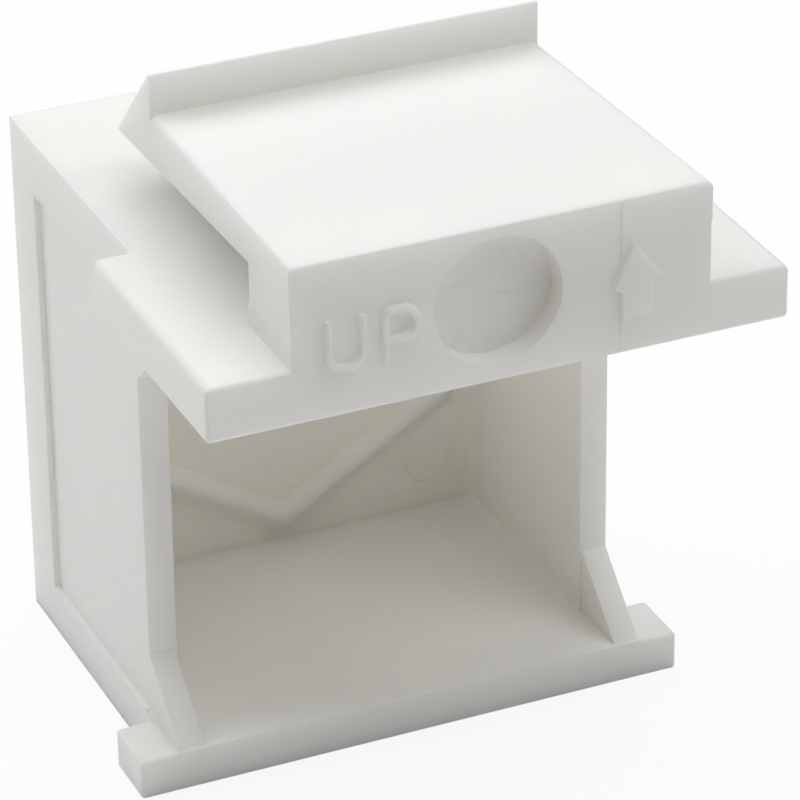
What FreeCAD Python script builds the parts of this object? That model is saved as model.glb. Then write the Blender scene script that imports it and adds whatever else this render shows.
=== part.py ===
import FreeCAD, Part
import Sketcher
import math
import os
import re

# Keystone blank insert: one white moulding that clips into a keystone opening and closes it.
# X runs across the opening, +Y points into the opening towards the blank face, and +Z is up,
# where the spring latch is. The origin is the centre of the blank face. Lengths are in mm,
# and depths are measured back from the blank face.

sizes = {
    # the box
    "bodyWidth": 14.5,
    "bodyHeight": 15.9,
    "frontWall": 1.8,
    "sideWall": 1.0,
    "topPlate": 1.58,
    "floorPlate": 1.25,
    "shelfDepth": 17.6,
    # shoulders that stop the insert behind the opening, and the side walls that end beside them
    "shoulderDepth": 9.6,
    "wallSetback": 0.3,
    "earDepth": 1.95,
    "wingReach": 1.05,
    "earReach": 1.025,
    "baseEar": 1.18,
    # gussets behind each side wall: one down to the edge of the floor, one up under the shelf
    "flareThick": 0.75,
    "flareRise": 1.95,
    "flareSetback": 0.1,
    "shelfFlareRise": 2.4,
    "shelfFlareRun": 2.6,
    # sunk panel in each outer side
    "frontBand": 1.9,
    "upperBand": 1.7,
    "lowerBand": 1.42,
    "sideRecess": 0.17,
    # latch: a riser at the back, an arm that runs forward from it, and a hooked lip
    "riserWidth": 11.9,
    "riserThick": 2.85,
    "armWidth": 11.95,
    "tipWidth": 11.35,
    "armRise": 2.92,
    "armUnder": 1.8,
    "lipDepth": 7.45,
    "lipFoot": 2.8,
    "lipHeight": 1.26,
    "noseDepth": 4.7,
    "noseRise": 1.25,
    # marks that the mould leaves on the back plane and on the inside of the blank wall
    "panelWidth": 6.7,
    "panelStep": 0.04,
    "gateDiameter": 3.65,
    "gateShift": 0.13,
    "gateRise": 0.75,
    "gateSink": 0.8,
    "ribSpread": 11.0,
    "ribRise": 3.3,
    "ribThick": 0.6,
    "ribHeight": 0.15,
    "ribFoot": 0.25,
    "ejectorDiameter": 1.4,
    "ejectorSink": 0.08,
    "ejectorSpacing": 9.5,
    "ejectorRise": 1.5,
    # rounded edges
    "faceRound": 0.15,
    "cavityRound": 0.1,
    "shelfRound": 0.25,
    "plateRound": 0.12,
    "latchRound": 0.2,
    "tipRound": 0.05,
}

# Levels and depths that follow from the sizes.
places = {
    "topLevel": "bodyHeight / 2",
    "floorLevel": "floorPlate - bodyHeight / 2",
    "ceilingLevel": "bodyHeight / 2 - topPlate",
    "innerSide": "bodyWidth / 2 - sideWall",
    "sunkSide": "bodyWidth / 2 - sideRecess",
    "wallDepth": "shoulderDepth - wallSetback",
    "baseDepth": "shoulderDepth + earDepth",
    "earLevel": "baseEar - topLevel",
    "shelfWidth": "bodyWidth + 2 * wingReach",
    "baseWidth": "bodyWidth + 2 * earReach",
    "flareTop": "floorLevel + flareRise",
    "flareFoot": "baseDepth - flareSetback",
    "shelfFlareLevel": "ceilingLevel - shelfFlareRise",
    "shelfFlareFoot": "wallDepth + shelfFlareRun",
    "riserFront": "shelfDepth - riserThick",
    "armLevel": "topLevel + armRise",
    "lipLevel": "topLevel + lipFoot",
    "tipLevel": "topLevel + lipFoot + lipHeight",
    "noseLevel": "topLevel + noseRise",
    "taperFoot": "topLevel + noseRise / 2",
    "ribLevel": "floorLevel + ribFoot",
}

doc = FreeCAD.newDocument("KeystoneBlank")
sheet = doc.addObject("Spreadsheet::Sheet", "Sizes")
cells = [(alias, str(value)) for alias, value in sizes.items()]
cells += [(alias, "=" + formula) for alias, formula in places.items()]
for row, (alias, content) in enumerate(cells, start=1):
    sheet.set(f"A{row}", alias)
    sheet.set(f"B{row}", content)
    sheet.setAlias(f"B{row}", alias)
doc.recompute()

body = doc.addObject("PartDesign::Body", "BlankInsert")
body.Label = "blankInsert"
body.Placement = FreeCAD.Placement()


def bound(formula):
    """The formula with its words read from the sheet."""
    return re.sub(r"[A-Za-z]+", r"Sizes.\g<0>", formula)


def originPlane(role):
    return [plane for plane in body.Origin.OriginFeatures if plane.Role == role][0]


def newSketch(name, role, offset="0"):
    """A sketch on an origin plane of the body, moved along the plane's normal."""
    sketch = body.newObject("Sketcher::SketchObject", name)
    sketch.AttachmentSupport = [(originPlane(role), "")]
    sketch.MapMode = "FlatFace"
    sketch.setExpression("AttachmentOffset.Base.z", bound(offset))
    return sketch


def holdPoint(sketch, element, point, across, up):
    """Holds a point of the sketch at two formulas, measured from the origin."""
    for kind, formula in (("DistanceX", across), ("DistanceY", up)):
        held = sketch.addConstraint(Sketcher.Constraint(kind, -1, 1, element, point, 1.0))
        sketch.setExpression(f"Constraints[{held}]", bound(formula))


def addOutline(sketch, corners):
    """A closed outline of straight edges. It is drawn as a small ring and held at its corners."""
    count = len(corners)
    turns = [2 * math.pi * index / count for index in range(count)]
    ring = [FreeCAD.Vector(math.cos(turn), math.sin(turn), 0) for turn in turns]
    first = sketch.GeometryCount
    for index in range(count):
        sketch.addGeometry(Part.LineSegment(ring[index], ring[(index + 1) % count]), False)
    for index, (across, up) in enumerate(corners):
        following = first + (index + 1) % count
        sketch.addConstraint(Sketcher.Constraint("Coincident", first + index, 2, following, 1))
        holdPoint(sketch, first + index, 1, across, up)


def addRectangle(sketch, low, high):
    (left, bottom), (right, top) = low, high
    addOutline(sketch, [(left, bottom), (right, bottom), (right, top), (left, top)])


def addCircle(sketch, across, up, diameter):
    shape = Part.Circle(FreeCAD.Vector(0, 0, 0), FreeCAD.Vector(0, 0, 1), 1.0)
    ring = sketch.addGeometry(shape, False)
    holdPoint(sketch, ring, 3, across, up)
    held = sketch.addConstraint(Sketcher.Constraint("Diameter", ring, 2.0))
    sketch.setExpression(f"Constraints[{held}]", bound(diameter))


def addPad(sketch, length, name, side="One side", reverse=False):
    pad = body.newObject("PartDesign::Pad", name)
    pad.Profile = sketch
    pad.SideType = side
    pad.Reversed = reverse
    pad.setExpression("Length", bound(length))
    return finish(pad, sketch)


def addPocket(sketch, depth, name, reverse=False):
    """A pocket against the sketch's normal, or along it when reversed. It must take material away."""
    before = body.Shape.Volume
    pocket = body.newObject("PartDesign::Pocket", name)
    pocket.Profile = sketch
    pocket.Reversed = reverse
    pocket.setExpression("Length", bound(depth))
    finish(pocket, sketch)
    if not pocket.Shape.Volume < before:
        raise RuntimeError(f"{name} cuts nothing")
    return pocket


def finish(feature, sketch):
    sketch.Visibility = False
    doc.recompute()
    return feature


def mirrorSides(feature):
    """Repeats a feature of the right side on the left."""
    mirrored = body.newObject("PartDesign::Mirrored", feature.Name + "Mirrored")
    mirrored.Originals = [feature]
    mirrored.MirrorPlane = (originPlane("YZ_Plane"), [""])
    body.Tip = mirrored
    doc.recompute()
    return mirrored


def size(word):
    return float(sheet.get(word))


def spotsOf(edge):
    """The ends and the middle of an edge, seen from one side of the middle plane."""
    points = [vertex.Point for vertex in edge.Vertexes] + [edge.CenterOfMass]
    return [{"x": abs(point.x), "y": point.y, "z": point.z} for point in points]


def liesOn(edge, line):
    """True where all of the edge keeps the line's two coordinates."""
    return all(abs(spot[axis] - value) < 1e-4 for spot in spotsOf(edge) for axis, value in line.items())


def joins(edge, corners):
    """True where the edge runs between two corners of the side view."""
    ends = [(spot["y"], spot["z"]) for spot in spotsOf(edge)[:2]]
    return all(any(math.dist(end, corner) < 1e-4 for end in ends) for corner in corners)


def addFillet(name, radius, lines=(), sides=()):
    """Rounds the edges on straight lines, and those that join two corners in the side view."""
    base = body.Tip
    edges = []
    for number, edge in enumerate(base.Shape.Edges, start=1):
        if any(liesOn(edge, line) for line in lines) or any(joins(edge, side) for side in sides):
            edges.append(f"Edge{number}")
    fillet = body.newObject("PartDesign::Fillet", name)
    fillet.Base = (base, edges)
    fillet.setExpression("Radius", bound(radius))
    doc.recompute()
    return fillet


# The box, its shelf and its floor are one section, as wide as the opening.
section = newSketch("SectionSketch", "YZ_Plane")
addOutline(section, [
    ("0", "-topLevel"),
    ("0", "topLevel"),
    ("-shelfDepth", "topLevel"),
    ("-shelfDepth", "ceilingLevel"),
    ("-wallDepth", "ceilingLevel"),
    ("-wallDepth", "floorLevel"),
    ("-baseDepth", "floorLevel"),
    ("-baseDepth", "-topLevel"),
])
addPad(section, "bodyWidth", "Section", side="Symmetric")

# The cavity is open at the back, between two side walls.
cavity = newSketch("CavitySketch", "XZ_Plane", "frontWall")
addRectangle(cavity, ("-innerSide", "floorLevel"), ("innerSide", "ceilingLevel"))
addPocket(cavity, "shelfDepth - frontWall", "Cavity", reverse=True)
inner = size("innerSide")
addFillet("CavityRounds", "cavityRound", [
    {"x": inner, "z": size("floorLevel")},
    {"x": inner, "z": size("ceilingLevel")},
])
half = size("bodyWidth") / 2
top = size("topLevel")
addFillet("FaceRounds", "faceRound", [
    {"y": 0.0, "x": half},
    {"y": 0.0, "z": top},
    {"y": 0.0, "z": -top},
])

# Each outer side has a sunk panel that runs out at the back, and down to the ears behind the shoulder.
sidePanel = newSketch("SidePanelSketch", "YZ_Plane", "bodyWidth / 2")
addOutline(sidePanel, [
    ("-frontBand", "topLevel - upperBand"),
    ("-baseDepth", "topLevel - upperBand"),
    ("-baseDepth", "earLevel"),
    ("-shoulderDepth", "earLevel"),
    ("-shoulderDepth", "lowerBand - topLevel"),
    ("-frontBand", "lowerBand - topLevel"),
])
mirrorSides(addPocket(sidePanel, "sideRecess", "SidePanel"))

# Behind each side wall one thin gusset runs down to the rear edge of the floor, and one up to the shelf.
flare = newSketch("FlareSketch", "YZ_Plane", "sunkSide")
addOutline(flare, [
    ("-wallDepth", "floorLevel"),
    ("-wallDepth", "flareTop"),
    ("-flareFoot", "floorLevel"),
])
addOutline(flare, [
    ("-wallDepth", "ceilingLevel"),
    ("-wallDepth", "shelfFlareLevel"),
    ("-shelfFlareFoot", "ceilingLevel"),
])
mirrorSides(addPad(flare, "flareThick", "Flare", reverse=True))

# The shoulders stand out at both sides of the shelf and of the floor.
shelf = newSketch("ShelfSketch", "XY_Plane", "topLevel")
addRectangle(shelf, ("-shelfWidth / 2", "-shelfDepth"), ("shelfWidth / 2", "-shoulderDepth"))
addPad(shelf, "topPlate", "Shelf", reverse=True)
ears = newSketch("EarSketch", "XY_Plane", "-topLevel")
addRectangle(ears, ("-baseWidth / 2", "-baseDepth"), ("baseWidth / 2", "-shoulderDepth"))
addPad(ears, "baseEar", "Ears")

# The latch: the riser stands on the back of the shelf, and the arm springs forward from it.
riser = newSketch("RiserSketch", "XY_Plane", "topLevel")
addRectangle(riser, ("-riserWidth / 2", "-shelfDepth"), ("riserWidth / 2", "-riserFront"))
addPad(riser, "armUnder", "Riser")
arm = newSketch("ArmSketch", "YZ_Plane")
addOutline(arm, [
    ("-shelfDepth", "topLevel + armUnder"),
    ("-shelfDepth", "armLevel"),
    ("-lipDepth", "lipLevel"),
    ("-lipDepth", "tipLevel"),
    ("-noseDepth", "noseLevel"),
    ("-riserFront", "topLevel + armUnder"),
])
addPad(arm, "armWidth", "Arm", side="Symmetric")
taper = newSketch("TaperSketch", "XY_Plane", "tipLevel")
addOutline(taper, [
    ("armWidth / 2", "-shelfDepth"),
    ("armWidth / 2", "-noseDepth"),
    ("tipWidth / 2", "-noseDepth"),
])
mirrorSides(addPocket(taper, "tipLevel - taperFoot", "Taper"))

# Rounded edges of the shoulders and of the latch.
shelfBack = -size("shelfDepth")
shoulder = -size("shoulderDepth")
baseBack = -size("baseDepth")
shelfSide = size("shelfWidth") / 2
baseSide = size("baseWidth") / 2
ceiling = size("ceilingLevel")
earLevel = size("earLevel")
addFillet("ShelfSideRounds", "shelfRound", [{"x": shelfSide, "z": top}])
addFillet("ShelfRounds", "plateRound", [
    {"x": shelfSide, "z": ceiling},
    {"y": shelfBack, "z": top},
    {"y": shelfBack, "z": ceiling},
])
addFillet("EarRounds", "plateRound", [
    {"x": baseSide, "y": baseBack},
    {"x": baseSide, "y": shoulder},
    {"x": baseSide, "z": earLevel},
    {"x": baseSide, "z": -top},
    {"y": baseBack, "z": -top},
    {"y": baseBack, "z": earLevel},
])
heel = (shelfBack, size("armLevel"))
lipRoot = (-size("lipDepth"), size("lipLevel"))
lipTip = (-size("lipDepth"), size("tipLevel"))
nose = (-size("noseDepth"), size("noseLevel"))
addFillet("LatchRounds", "latchRound", [{"y": heel[0], "z": heel[1]}], [(heel, lipRoot)])
addFillet("TipRounds", "tipRound", [
    {"y": lipTip[0], "z": lipTip[1]},
    {"y": nose[0], "z": nose[1]},
])

# Marks of the mould: a slightly sunk insert panel and a round gate recess on the back plane.
panel = newSketch("PanelSketch", "XZ_Plane", "shelfDepth")
addRectangle(panel, ("-panelWidth / 2", "ceilingLevel"), ("panelWidth / 2", "armLevel"))
addPocket(panel, "panelStep", "Panel")
gate = newSketch("GateSketch", "XZ_Plane", "shelfDepth")
addCircle(gate, "-gateShift", "topLevel + gateRise", "gateDiameter")
addPocket(gate, "gateSink", "Gate")

# Inside, the blank wall has a shallow rib in the form of a V and two round ejector marks.
rib = newSketch("RibSketch", "XZ_Plane", "frontWall")
addOutline(rib, [
    ("0", "ribLevel"),
    ("ribSpread / 2", "ribLevel + ribRise"),
    ("ribSpread / 2", "ribLevel + ribRise + ribThick"),
    ("0", "ribLevel + ribThick"),
    ("-ribSpread / 2", "ribLevel + ribRise + ribThick"),
    ("-ribSpread / 2", "ribLevel + ribRise"),
])
addPad(rib, "ribHeight", "Rib")
ejector = newSketch("EjectorSketch", "XZ_Plane", "frontWall")
for across in ("ejectorSpacing / 2", "-ejectorSpacing / 2"):
    addCircle(ejector, across, "floorLevel + ejectorRise", "ejectorDiameter")
addPocket(ejector, "ejectorSink", "Ejectors")

for item in doc.Objects:
    if "Invalid" in item.State or "Error" in item.State:
        raise RuntimeError(f"{item.Name}: {item.State}")
moulding = body.Shape
if moulding.isNull() or not moulding.isValid() or len(moulding.Solids) != 1:
    raise RuntimeError(f"{body.Label} is not one valid solid")
os.makedirs("parts", exist_ok=True)
moulding.exportStep(f"parts/{body.Label}.step")
box = moulding.optimalBoundingBox(False, False)
print(body.Label, round(box.XLength, 3), round(box.YLength, 3), round(box.ZLength, 3), "mm")
print("volume", round(moulding.Volume, 1), "mm3")
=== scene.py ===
import math
import bmesh
import bpy
from mathutils import Matrix, Vector, noise


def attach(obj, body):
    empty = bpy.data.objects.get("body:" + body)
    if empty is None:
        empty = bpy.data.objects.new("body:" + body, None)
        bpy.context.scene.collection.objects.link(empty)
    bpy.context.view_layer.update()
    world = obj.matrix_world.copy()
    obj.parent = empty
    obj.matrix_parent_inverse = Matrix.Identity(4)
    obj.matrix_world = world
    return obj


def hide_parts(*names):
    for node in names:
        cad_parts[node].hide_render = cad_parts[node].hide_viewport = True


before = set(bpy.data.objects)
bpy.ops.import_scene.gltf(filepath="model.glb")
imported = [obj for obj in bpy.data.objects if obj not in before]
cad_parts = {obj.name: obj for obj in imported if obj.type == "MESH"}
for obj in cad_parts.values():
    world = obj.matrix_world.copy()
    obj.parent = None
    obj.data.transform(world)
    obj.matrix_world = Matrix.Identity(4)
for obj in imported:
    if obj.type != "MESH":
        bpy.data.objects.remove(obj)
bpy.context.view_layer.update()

# Keystone blank insert, one white ABS moulding. X runs across it, +Y points at the blank
# face and +Z is up, where the latch is. Sizes are in mm and become metres in metre().


def metre(*lengths):
    scaled = [length * 0.001 for length in lengths]
    return scaled[0] if len(scaled) == 1 else Vector(scaled)


def linearColour(code):
    # sRGB hex to the linear values that the shaders read
    parts = [int(code[i:i + 2], 16) / 255 for i in (1, 3, 5)]
    return tuple(p / 12.92 if p <= 0.04045 else ((p + 0.055) / 1.055) ** 2.4 for p in parts) + (1.0,)


def addNode(tree, kind, inputs=None, **settings):
    # one node with its settings; an input is a value, or the output socket that feeds it
    node = tree.nodes.new(kind)
    for name, value in settings.items():
        setattr(node, name, value)
    for name, value in (inputs or {}).items():
        if isinstance(value, bpy.types.NodeSocket):
            tree.links.new(value, node.inputs[name])
        else:
            node.inputs[name].default_value = value
    return node


# The plastic: moulded ABS.

absFinish = {
    "colour": "#f6f6f3",
    "shade": "#f3f3ef",      # the slightly darker clouds in the resin
    "roughness": 0.46,
    "ior": 1.54,
    "cloudSize": 3.2,        # mm across one cloud of tone
    "sinkSize": 2.8,         # mm across one shallow sink or swell of a flat wall
    "sinkDepth": 0.006,
    "grainSize": 0.16,       # mm, spark-eroded mould grain, which varies how the skin shines
    "grainGloss": 0.05,
    "lightShare": 0.6,       # how much of the light goes inside the plastic
    "lightDepth": 1.6,       # mm that it travels there, and how red it turns
    "lightTint": (1.0, 0.87, 0.72),
}


def mouldedAbs():
    # Moulded ABS: white resin with a satin skin that lets a little light through. The eye sees
    # soft, broad highlights, thin walls that glow faintly warm, and a faint grain in the gloss.
    material = bpy.data.materials.new("mouldedAbs")
    material.use_nodes = True
    tree = material.node_tree
    tree.nodes.clear()
    place = addNode(tree, "ShaderNodeTexCoord").outputs["Object"]
    clouds = addNode(tree, "ShaderNodeTexNoise", {"Vector": place, "Detail": 1.0, "Roughness": 0.5,
                     "Scale": 1 / metre(absFinish["cloudSize"])})
    tone = addNode(tree, "ShaderNodeMix", {0: clouds.outputs["Fac"],
                   6: linearColour(absFinish["colour"]), 7: linearColour(absFinish["shade"])},
                   data_type="RGBA")
    sinks = addNode(tree, "ShaderNodeTexNoise", {"Vector": place, "Detail": 0.0,
                    "Scale": 1 / metre(absFinish["sinkSize"])})
    grain = addNode(tree, "ShaderNodeTexNoise", {"Vector": place, "Detail": 0.0,
                    "Scale": 1 / metre(absFinish["grainSize"])})
    sunk = addNode(tree, "ShaderNodeBump", {"Height": sinks.outputs["Fac"], "Strength": 1.0,
                   "Distance": metre(absFinish["sinkDepth"])})
    satin = addNode(tree, "ShaderNodeMapRange", {"Value": grain.outputs["Fac"],
                    "To Min": absFinish["roughness"] - absFinish["grainGloss"],
                    "To Max": absFinish["roughness"] + absFinish["grainGloss"]})
    shader = addNode(tree, "ShaderNodeBsdfPrincipled", {"Base Color": tone.outputs[2],
                     "Roughness": satin.outputs["Result"], "IOR": absFinish["ior"],
                     "Normal": sunk.outputs["Normal"], "Subsurface Weight": absFinish["lightShare"],
                     "Subsurface Radius": absFinish["lightTint"],
                     "Subsurface Scale": metre(absFinish["lightDepth"])})
    addNode(tree, "ShaderNodeOutputMaterial", {"Surface": shader.outputs["BSDF"]})
    return material


plastic = mouldedAbs()
print("material made:", plastic.name)


def addDetail(name, mesh):
    # a raised detail of the moulding, which is merged into its skin below
    detail = bpy.data.objects.new(name, mesh)
    bpy.context.scene.collection.objects.link(detail)
    mesh.materials.clear()
    mesh.materials.append(plastic)
    return detail


# The raised word UP on the back plane, in rounded strokes.

word = {
    "plane": -17.6,
    "strokeWidth": 0.24,
    "strokeHeight": 0.16,
    "pointSpacing": 0.02,
    "uLeft": -4.95, "uRight": -3.99, "uTop": 9.20, "uFoot": 7.76, "uCorner": 0.42,
    "pStem": -3.36, "pCorner": 0.12, "pTop": 9.12, "pFoot": 7.64, "pWaist": 8.29, "pRight": -2.45,
}


def arc(across, up, radius, start, end, steps=12):
    turns = [math.radians(start + (end - start) * step / steps) for step in range(steps + 1)]
    return [(across + radius * math.cos(turn), up + radius * math.sin(turn)) for turn in turns]


def strokeTree():
    # half-round strokes that follow the letters' middle lines, with round ends
    tree = bpy.data.node_groups.new("raisedStroke", "GeometryNodeTree")
    tree.interface.new_socket("Geometry", in_out="INPUT", socket_type="NodeSocketGeometry")
    for name in ("strokeWidth", "strokeHeight", "pointSpacing", "plane"):
        tree.interface.new_socket(name, in_out="INPUT", socket_type="NodeSocketFloat")
    tree.interface.new_socket("Geometry", in_out="OUTPUT", socket_type="NodeSocketGeometry")
    given = addNode(tree, "NodeGroupInput").outputs
    half = addNode(tree, "ShaderNodeMath", {0: given["strokeWidth"], 1: 0.5},
                   operation="MULTIPLY").outputs[0]
    line = addNode(tree, "GeometryNodeResampleCurve", {"Curve": given["Geometry"],
                   "Length": given["pointSpacing"]}, mode="LENGTH")
    along = addNode(tree, "GeometryNodeSplineParameter").outputs["Length"]
    total = addNode(tree, "GeometryNodeSplineLength").outputs["Length"]
    left = addNode(tree, "ShaderNodeMath", {0: total, 1: along}, operation="SUBTRACT").outputs[0]
    near = addNode(tree, "ShaderNodeMath", {0: along, 1: left}, operation="MINIMUM").outputs[0]
    share = addNode(tree, "ShaderNodeMath", {0: near, 1: half}, operation="DIVIDE",
                    use_clamp=True).outputs[0]
    gone = addNode(tree, "ShaderNodeMath", {0: 1.0, 1: share}, operation="SUBTRACT").outputs[0]
    square = addNode(tree, "ShaderNodeMath", {0: gone, 1: gone}, operation="MULTIPLY").outputs[0]
    # a little over one, so that the round end doesn't close to a point
    rest = addNode(tree, "ShaderNodeMath", {0: 1.02, 1: square}, operation="SUBTRACT").outputs[0]
    radius = addNode(tree, "ShaderNodeMath", {0: rest, 1: 0.5}, operation="POWER").outputs[0]
    shaped = addNode(tree, "GeometryNodeSetCurveRadius",
                     {"Curve": line.outputs["Curve"], "Radius": radius})
    ring = addNode(tree, "GeometryNodeCurvePrimitiveCircle", {"Resolution": 20, "Radius": half})
    tube = addNode(tree, "GeometryNodeCurveToMesh", {"Curve": shaped.outputs["Curve"],
                   "Profile Curve": ring.outputs["Curve"], "Fill Caps": True})
    place = addNode(tree, "GeometryNodeInputPosition").outputs[0]
    spot = addNode(tree, "ShaderNodeSeparateXYZ", {0: place})
    squash = addNode(tree, "ShaderNodeMath", {0: given["strokeHeight"], 1: half},
                     operation="DIVIDE").outputs[0]
    out = addNode(tree, "ShaderNodeMath", {0: spot.outputs["Y"], 1: given["plane"]},
                  operation="SUBTRACT").outputs[0]
    depth = addNode(tree, "ShaderNodeMath", {0: out, 1: squash, 2: given["plane"]},
                    operation="MULTIPLY_ADD").outputs[0]
    moved = addNode(tree, "ShaderNodeCombineXYZ",
                    {"X": spot.outputs["X"], "Y": depth, "Z": spot.outputs["Z"]})
    flat = addNode(tree, "GeometryNodeSetPosition",
                   {"Geometry": tube.outputs["Mesh"], "Position": moved.outputs[0]})
    smooth = addNode(tree, "GeometryNodeSetShadeSmooth", {"Geometry": flat.outputs[0]})
    real = addNode(tree, "GeometryNodeRealizeInstances", {"Geometry": smooth.outputs[0]})
    dressed = addNode(tree, "GeometryNodeSetMaterial",
                      {"Geometry": real.outputs[0], "Material": plastic})
    addNode(tree, "NodeGroupOutput", {"Geometry": dressed.outputs[0]})
    return tree


def makeWord():
    corner, turn, bowl = word["uCorner"], word["pCorner"], (word["pTop"] - word["pWaist"]) / 2
    strokes = [
        [(word["uLeft"], word["uTop"])]
        + arc(word["uLeft"] + corner, word["uFoot"] + corner, corner, 180, 270)
        + arc(word["uRight"] - corner, word["uFoot"] + corner, corner, 270, 360)
        + [(word["uRight"], word["uTop"])],
        [(word["pStem"], word["pFoot"])]
        + arc(word["pStem"] + turn, word["pTop"] - turn, turn, 180, 90)
        + arc(word["pRight"] - bowl, word["pTop"] - bowl, bowl, 90, -90)
        + [(word["pStem"], word["pWaist"])],
    ]
    curve = bpy.data.curves.new("wordLines", "CURVE")
    curve.dimensions = "3D"
    for stroke in strokes:
        spline = curve.splines.new("POLY")
        spline.points.add(len(stroke) - 1)
        for point, (across, up) in zip(spline.points, stroke):
            point.co = (*metre(across, word["plane"], up), 1.0)
    lines = bpy.data.objects.new("wordLines", curve)
    bpy.context.scene.collection.objects.link(lines)
    modifier = lines.modifiers.new("raisedStroke", "NODES")
    modifier.node_group = strokeTree()
    for socket in modifier.node_group.interface.items_tree:
        if socket.in_out == "INPUT" and socket.name in word:
            modifier[socket.identifier] = metre(word[socket.name])
    bpy.context.view_layer.update()
    mesh = bpy.data.meshes.new_from_object(lines.evaluated_get(bpy.context.evaluated_depsgraph_get()))
    mesh.name = "wordUp"
    bpy.data.objects.remove(lines)
    return addDetail("wordUp", mesh)


wordUp = makeWord()
print("word made:", len(wordUp.data.polygons), "faces")


# The raised arrow beside it.

arrow = {
    "plane": -17.6,
    "outline": ((3.66, 9.62), (4.46, 8.56), (4.22, 8.45), (4.20, 7.48), (3.34, 7.42), (3.32, 8.27),
                (3.04, 8.34)),
    "height": 0.16,
    "root": 0.10,
    "edgeRound": 0.05,
}


def makeArrow():
    shape = bmesh.new()
    foot, top = [[shape.verts.new(metre(across, arrow["plane"] + depth, up))
                  for across, up in arrow["outline"]] for depth in (arrow["root"], -arrow["height"])]
    count = len(foot)
    shape.faces.new(foot)
    shape.faces.new(top[::-1])
    for index in range(count):
        following = (index + 1) % count
        shape.faces.new([foot[following], foot[index], top[index], top[following]])
    bmesh.ops.recalc_face_normals(shape, faces=shape.faces)
    raised = [edge for edge in shape.edges if any(vertex in top for vertex in edge.verts)]
    bmesh.ops.bevel(shape, geom=raised, offset=metre(arrow["edgeRound"]), segments=3, profile=0.5,
                    affect="EDGES", clamp_overlap=True)
    mesh = bpy.data.meshes.new("upArrow")
    shape.to_mesh(mesh)
    shape.free()
    mesh.shade_smooth()
    mesh.set_sharp_from_angle(angle=math.radians(50))
    return addDetail("upArrow", mesh)


upArrow = makeArrow()
print("arrow made:", len(upArrow.data.polygons), "faces")


# The torn surface in the gate recess, where the moulding was snapped off its runner.

scar = {
    "centre": (-0.13, 8.70),
    "radius": 1.85,
    "floor": -16.8,
    "lift": 0.04,
    "root": 0.10,
    "rings": 44,
    "spokes": 120,
    # upper edge of the raised tongue, as points across and up from the recess's centre
    "tongueEdge": ((-1.9, -0.35), (-1.42, 0.02), (-1.15, 0.30), (-0.85, 0.37), (-0.47, 0.34), (-0.07, 0.11),
                   (0.38, -0.13), (0.95, -0.17), (1.35, -0.05), (1.9, 0.3)),
    "tongueRise": 0.035,
    "tongueSoft": 0.13,
    # small pits, as places across and up and a width
    "pits": ((0.55, 1.04, 0.10), (0.55, 0.24, 0.11), (0.43, -1.73, 0.08), (-0.85, -0.95, 0.07),
             (0.85, -0.30, 0.07)),
    "pitDepth": 0.05,
    "waveSeed": 3.7,
    "waveTwist": 0.9,
    "waveSize": 0.75,
    "waveDepth": 0.05,
    "tearSeed": 9.1,
    "tearSize": 0.22,
    "tearDepth": 0.022,
}


def scarRise(across, up):
    # how far the torn surface stands above the recess's floor
    line = scar["tongueEdge"]
    left, right = next(pair for pair in zip(line, line[1:]) if across <= pair[1][0] or pair[1] == line[-1])
    share = (across - left[0]) / (right[0] - left[0])
    below = left[1] + (right[1] - left[1]) * share - up
    step = min(max(below / scar["tongueSoft"], 0.0), 1.0)
    rise = scar["tongueRise"] * step * step * (3 - 2 * step)
    for pitAcross, pitUp, size in scar["pits"]:
        rise -= scar["pitDepth"] * math.exp(-((across - pitAcross) ** 2 + (up - pitUp) ** 2) / size ** 2)
    wave = Vector((across, up, scar["waveSeed"])) / scar["waveSize"]
    turned = wave + scar["waveTwist"] * noise.noise_vector(wave)
    rise += scar["waveDepth"] * noise.noise(turned)
    rise += scar["tearDepth"] * noise.noise(Vector((across, up, scar["tearSeed"])) / scar["tearSize"])
    return scar["lift"] + rise


def makeScar():
    shape = bmesh.new()
    centre = scar["centre"]
    rows = []
    for ring in range(1, scar["rings"] + 1):
        reach = scar["radius"] * ring / scar["rings"]
        spots = arc(0, 0, reach, 0, 360, scar["spokes"])[:-1]
        rows.append([shape.verts.new(metre(centre[0] + x, scar["floor"] - scarRise(x, z), centre[1] + z))
                     for x, z in spots])
    skirt = arc(0, 0, scar["radius"], 0, 360, scar["spokes"])[:-1]
    rows.append([shape.verts.new(metre(centre[0] + x, scar["floor"] + scar["root"], centre[1] + z))
                 for x, z in skirt])
    middle = shape.verts.new(metre(centre[0], scar["floor"] - scarRise(0, 0), centre[1]))
    count = scar["spokes"]
    for index in range(count):
        following = (index + 1) % count
        shape.faces.new([middle, rows[0][index], rows[0][following]])
        for inner, outer in zip(rows, rows[1:]):
            shape.faces.new([inner[index], outer[index], outer[following], inner[following]])
    shape.faces.new(rows[-1])
    bmesh.ops.recalc_face_normals(shape, faces=shape.faces)
    mesh = bpy.data.meshes.new("gateScar")
    shape.to_mesh(mesh)
    shape.free()
    mesh.shade_smooth()
    mesh.set_sharp_from_angle(angle=math.radians(60))
    return addDetail("gateScar", mesh)


gateScar = makeScar()
print("gate scar made:", len(gateScar.data.polygons), "faces")


# The rounded crest of the V-shaped rib inside the blank wall.

rib = {
    "wall": -1.8,
    "root": 0.1,
    "spread": 11.0,
    "foot": -6.45,
    "rise": 3.3,
    "width": 1.1,
    "crest": 0.40,
    "sink": 0.01,
    "fall": 1.2,
    "steps": 11,
}


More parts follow.
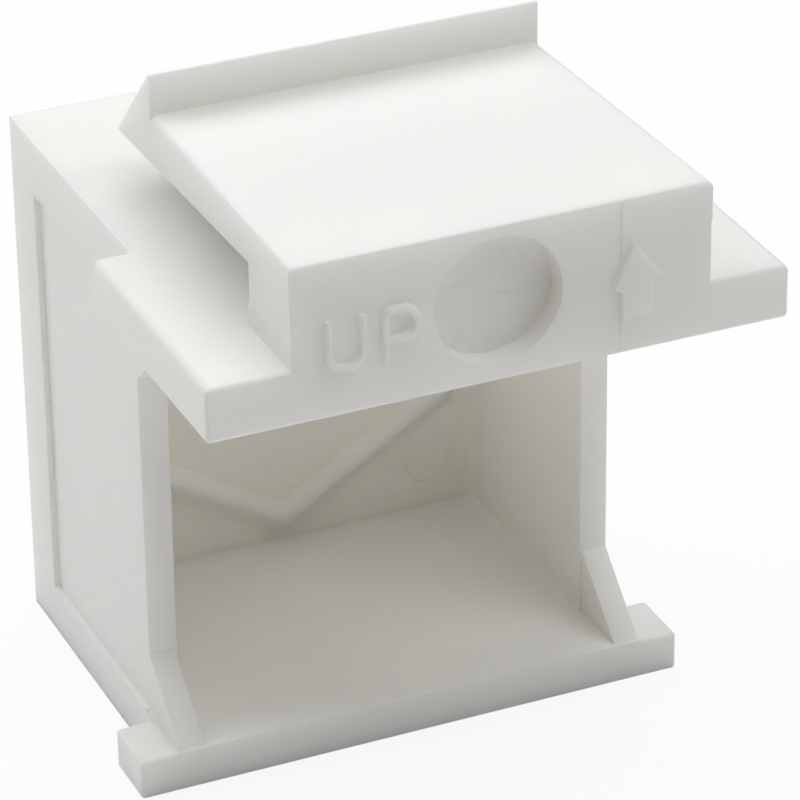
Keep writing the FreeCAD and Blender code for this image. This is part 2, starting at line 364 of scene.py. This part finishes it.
def makeRib():
    shape = bmesh.new()
    section = [(0.0, -rib["root"])]
    for step in range(rib["steps"] + 1):
        share = step / rib["steps"]
        swell = math.sin(math.pi * share) ** rib["fall"]
        section.append((rib["width"] * share, rib["crest"] * swell - rib["sink"]))
    section.append((rib["width"], -rib["root"]))
    stations = ((-rib["spread"] / 2, rib["rise"]), (0.0, 0.0), (rib["spread"] / 2, rib["rise"]))
    rows = [[shape.verts.new(metre(across, rib["wall"] - reach, rib["foot"] + lift + level))
             for level, reach in section] for across, lift in stations]
    for left, right in zip(rows, rows[1:]):
        for index in range(len(section)):
            following = (index + 1) % len(section)
            shape.faces.new([left[index], left[following], right[following], right[index]])
    shape.faces.new(rows[0])
    shape.faces.new(rows[-1])
    bmesh.ops.recalc_face_normals(shape, faces=shape.faces)
    mesh = bpy.data.meshes.new("innerRib")
    shape.to_mesh(mesh)
    shape.free()
    return addDetail("innerRib", mesh)


innerRib = makeRib()
print("rib made:", len(innerRib.data.polygons), "faces")


# Where each sunk panel's lower band runs out into the ear.

bandEnd = {
    "inner": 7.0,
    "outer": 7.248,
    # outline as depth and level: the band's top slopes down to the ear
    "outline": ((-9.25, -6.53), (-9.75, -6.78), (-9.75, -6.95), (-9.25, -6.95)),
}


def makeBandEnds():
    shape = bmesh.new()
    for side in (-1, 1):
        rows = [[shape.verts.new(metre(side * across, depth, level)) for depth, level in bandEnd["outline"]]
                for across in (bandEnd["inner"], bandEnd["outer"])]
        for index in range(len(rows[0])):
            following = (index + 1) % len(rows[0])
            shape.faces.new([rows[0][index], rows[0][following], rows[1][following], rows[1][index]])
        shape.faces.new(rows[0])
        shape.faces.new(rows[1])
    bmesh.ops.recalc_face_normals(shape, faces=shape.faces)
    mesh = bpy.data.meshes.new("bandEnds")
    shape.to_mesh(mesh)
    shape.free()
    return addDetail("bandEnds", mesh)


bandEnds = makeBandEnds()
print("band ends made:", len(bandEnds.data.polygons), "faces")


# The moulding itself: the solid and its raised details as one closed skin.

skin = {
    "weld": 0.001,
    "flat": 1.0,             # degrees within which two faces are one flat
    "wide": 0.2,             # mm, a flat is wider than this and a facet of a round isn't
    "crease": 50.0,          # degrees, corners that are sharp in any case
}


def merged(source):
    shape = bmesh.new()
    shape.from_mesh(source)
    bmesh.ops.remove_doubles(shape, verts=shape.verts, dist=metre(skin["weld"]))
    mesh = bpy.data.meshes.new("solid")
    shape.to_mesh(mesh)
    shape.free()
    return mesh


def flatsOf(shape):
    # the faces that lie in one plane with their neighbours, as groups with a mean width
    found, widths = {}, []
    for seed in shape.faces:
        if seed in found:
            continue
        group, todo = len(widths), [seed]
        found[seed] = group
        area, rim = 0.0, 0.0
        while todo:
            face = todo.pop()
            area += face.calc_area()
            for edge in face.edges:
                others = [other for other in edge.link_faces if other is not face]
                if others and edge.calc_face_angle(0.0) < math.radians(skin["flat"]):
                    if others[0] not in found:
                        found[others[0]] = group
                        todo.append(others[0])
                else:
                    rim += edge.calc_length()
        widths.append(2 * area / rim if rim else 0.0)
    return found, widths


def makeSkin(details):
    carrier = bpy.data.objects.new("insertSkin", merged(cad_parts["blankInsert"].data))
    bpy.context.scene.collection.objects.link(carrier)
    for detail in details:
        join = carrier.modifiers.new(detail.name, "BOOLEAN")
        join.object, join.operation, join.solver = detail, "UNION", "EXACT"
        join.use_self = True
    bpy.context.view_layer.update()
    mesh = bpy.data.meshes.new_from_object(carrier.evaluated_get(bpy.context.evaluated_depsgraph_get()))
    for spare in [carrier, *details]:
        bpy.data.objects.remove(spare)
    shape = bmesh.new()
    shape.from_mesh(mesh)
    bmesh.ops.remove_doubles(shape, verts=shape.verts, dist=metre(skin["weld"]) / 10)
    group, widths = flatsOf(shape)
    for face in shape.faces:
        face.smooth = True
    for edge in shape.edges:
        wide = all(widths[group[face]] > metre(skin["wide"]) for face in edge.link_faces)
        turn = math.degrees(edge.calc_face_angle(0.0))
        edge.smooth = turn < skin["crease"] and not (wide and turn > skin["flat"])
    print("open edges:", sum(len(edge.link_faces) != 2 for edge in shape.edges),
          "volume:", round(shape.calc_volume() * 1e9, 2), "mm3")
    shape.to_mesh(mesh)
    shape.free()
    mesh.name = "insertSkin"
    mesh.materials.clear()
    mesh.materials.append(plastic)
    piece = bpy.data.objects.new("insertSkin", mesh)
    bpy.context.scene.collection.objects.link(piece)
    weighted = piece.modifiers.new("weighted", "WEIGHTED_NORMAL")
    weighted.keep_sharp = True
    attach(piece, "root")
    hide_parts("blankInsert")
    return piece


insertSkin = makeSkin([wordUp, upArrow, gateScar, innerRib, bandEnds])
print("skin made:", len(insertSkin.data.polygons), "faces")


# The camera, as the photograph was taken.

view = {
    "azimuth": -23.52,
    "elevation": 28.52,
    "roll": -0.753,
    "distance": 132.25,
    "aim": (0.567, -9.5, 1.66),
    "lens": 214.08,
    "sensor": 36.0,
}


def makeCamera():
    turn, rise = math.radians(view["azimuth"]), math.radians(view["elevation"])
    back = Vector((math.sin(turn) * math.cos(rise), -math.cos(turn) * math.cos(rise), math.sin(rise)))
    data = bpy.data.cameras.new("photoCamera")
    data.lens = view["lens"]
    data.sensor_width = view["sensor"]
    data.clip_start, data.clip_end = 0.001, 10.0
    camera = bpy.data.objects.new("photoCamera", data)
    bpy.context.scene.collection.objects.link(camera)
    roll = Matrix.Rotation(math.radians(view["roll"]), 3, "Z")
    facing = (-back).to_track_quat("-Z", "Y").to_matrix() @ roll
    place = metre(*view["aim"]) + back * metre(view["distance"])
    camera.matrix_world = Matrix.Translation(place) @ facing.to_4x4()
    bpy.context.scene.camera = camera


makeCamera()


# The floor and the soft studio light.

floorLook = {"level": -7.95, "side": 4000.0, "colour": "#fafafa", "shadowShare": 0.12}
lampReach = {"distance": 240.0, "side": 170.0}
lamps = {
    # azimuth and elevation that it shines from, and its strength
    "top": (-40, 80, 0.140),
    "backRight": (150, 52, 0.205),
    "backLeft": (-130, 42, 0.290),
    "right": (60, 42, 0.120),
    "frontRight": (35, 56, 0.072),
    "front": (0, 30, 0.026),
}
roofGlow = {
    "place": (0.0, -6.5, 6.2),
    "across": 10.0,
    "along": 8.0,
    "watts": 0.00014,
    "colour": (1.0, 0.86, 0.72),
}


def makeFloor():
    side, level = metre(floorLook["side"]) / 2, metre(floorLook["level"])
    mesh = bpy.data.meshes.new("floor")
    mesh.from_pydata([(-side, -side, level), (side, -side, level),
                      (side, side, level), (-side, side, level)], [], [(0, 1, 2, 3)])
    floor = bpy.data.objects.new("floor", mesh)
    bpy.context.scene.collection.objects.link(floor)
    material = bpy.data.materials.new("whitePaper")
    material.use_nodes = True
    tree = material.node_tree
    tree.nodes.clear()
    paper = addNode(tree, "ShaderNodeBsdfDiffuse", {"Color": linearColour(floorLook["colour"])})
    white = addNode(tree, "ShaderNodeEmission", {"Color": (1, 1, 1, 1), "Strength": 1.0})
    ray = addNode(tree, "ShaderNodeLightPath")
    seen = ray.outputs["Is Camera Ray"]
    for way in ("Is Glossy Ray", "Is Transmission Ray"):
        seen = addNode(tree, "ShaderNodeMath", {0: seen, 1: ray.outputs[way]},
                       operation="MAXIMUM").outputs[0]
    share = addNode(tree, "ShaderNodeMath", {0: seen, 1: 1 - floorLook["shadowShare"]},
                    operation="MULTIPLY")
    mixed = addNode(tree, "ShaderNodeMixShader",
                    {0: share.outputs[0], 1: paper.outputs[0], 2: white.outputs[0]})
    addNode(tree, "ShaderNodeOutputMaterial", {"Surface": mixed.outputs[0]})
    mesh.materials.append(material)


def makeLamps():
    for name, (azimuth, elevation, watts) in lamps.items():
        turn, rise = math.radians(azimuth), math.radians(elevation)
        back = Vector((math.sin(turn) * math.cos(rise), -math.cos(turn) * math.cos(rise), math.sin(rise)))
        data = bpy.data.lights.new(name + "Lamp", "AREA")
        data.shape = "SQUARE"
        data.size = metre(lampReach["side"])
        data.energy = watts
        light = bpy.data.objects.new(name + "Lamp", data)
        light.location = back * metre(lampReach["distance"])
        light.rotation_mode = "QUATERNION"
        light.rotation_quaternion = (-back).to_track_quat("-Z", "Y")
        bpy.context.scene.collection.objects.link(light)


def makeGlow():
    # the warm light that the roof lets through into the cavity, as a weak lamp just below it
    data = bpy.data.lights.new("roofGlowLamp", "AREA")
    data.shape = "RECTANGLE"
    data.size, data.size_y = metre(roofGlow["across"]), metre(roofGlow["along"])
    data.energy = roofGlow["watts"]
    data.color = roofGlow["colour"]
    light = bpy.data.objects.new("roofGlowLamp", data)
    light.location = metre(*roofGlow["place"])
    light.visible_camera = False
    light.visible_glossy = False
    bpy.context.scene.collection.objects.link(light)


def makeRoom():
    world = bpy.data.worlds.new("studio")
    world.use_nodes = True
    tree = world.node_tree
    tree.nodes.clear()
    # white to the camera, and no light of its own
    seen = addNode(tree, "ShaderNodeLightPath").outputs["Is Camera Ray"]
    white = addNode(tree, "ShaderNodeBackground", {"Color": (1, 1, 1, 1), "Strength": seen})
    addNode(tree, "ShaderNodeOutputWorld", {"Surface": white.outputs[0]})
    bpy.context.scene.world = world


makeFloor()
makeLamps()
makeGlow()
makeRoom()
bpy.context.scene.view_settings.view_transform = "Standard"
print("camera, floor and light made")
